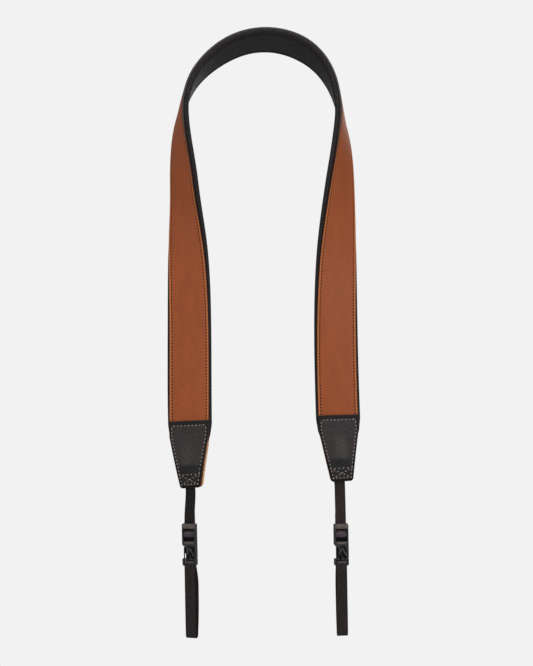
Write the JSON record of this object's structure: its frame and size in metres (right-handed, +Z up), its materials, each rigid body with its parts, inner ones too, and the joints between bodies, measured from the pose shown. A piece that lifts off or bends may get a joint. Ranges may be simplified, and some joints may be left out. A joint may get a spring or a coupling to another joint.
{
  "type": "camera neck strap",
  "caption": "Neck strap for a camera: leather band on a padded lining, stitched end tabs, webbing, side buckles and closed lug loops, hanging in the form it takes round a neck.",
  "frame": {"origin": "middle of the band on the padded lining's inner face, where the back of the neck carries the strap", "axes": "+Z up, +X to the right of somebody who looks at the strap's hanging ends, -Y towards them"},
  "size_m": [0.1817, 0.1068, 0.581],
  "materials": {
    "padded_lining": "black soft synthetic suede over foam",
    "leather_band": "tan, satin, fine grain",
    "tab_front": "dark brown black, satin, fine grain",
    "tab_back": "tan, satin",
    "webbing": "black woven webbing with ribs",
    "buckle": "black moulded plastic"
  },
  "bodies": {
    "root": {"padded_lining": "padded_lining", "leather_band": "leather_band", "tab_front_left": "tab_front", "tab_front_right": "tab_front", "tab_back_left": "tab_back", "tab_back_right": "tab_back", "webbing_left": "webbing", "webbing_right": "webbing", "buckle_socket_left": "buckle", "buckle_socket_right": "buckle", "buckle_plug_left": "buckle", "buckle_plug_right": "buckle", "lug_loop_left": "webbing", "lug_loop_right": "webbing"}
  },
  "joints": []
}
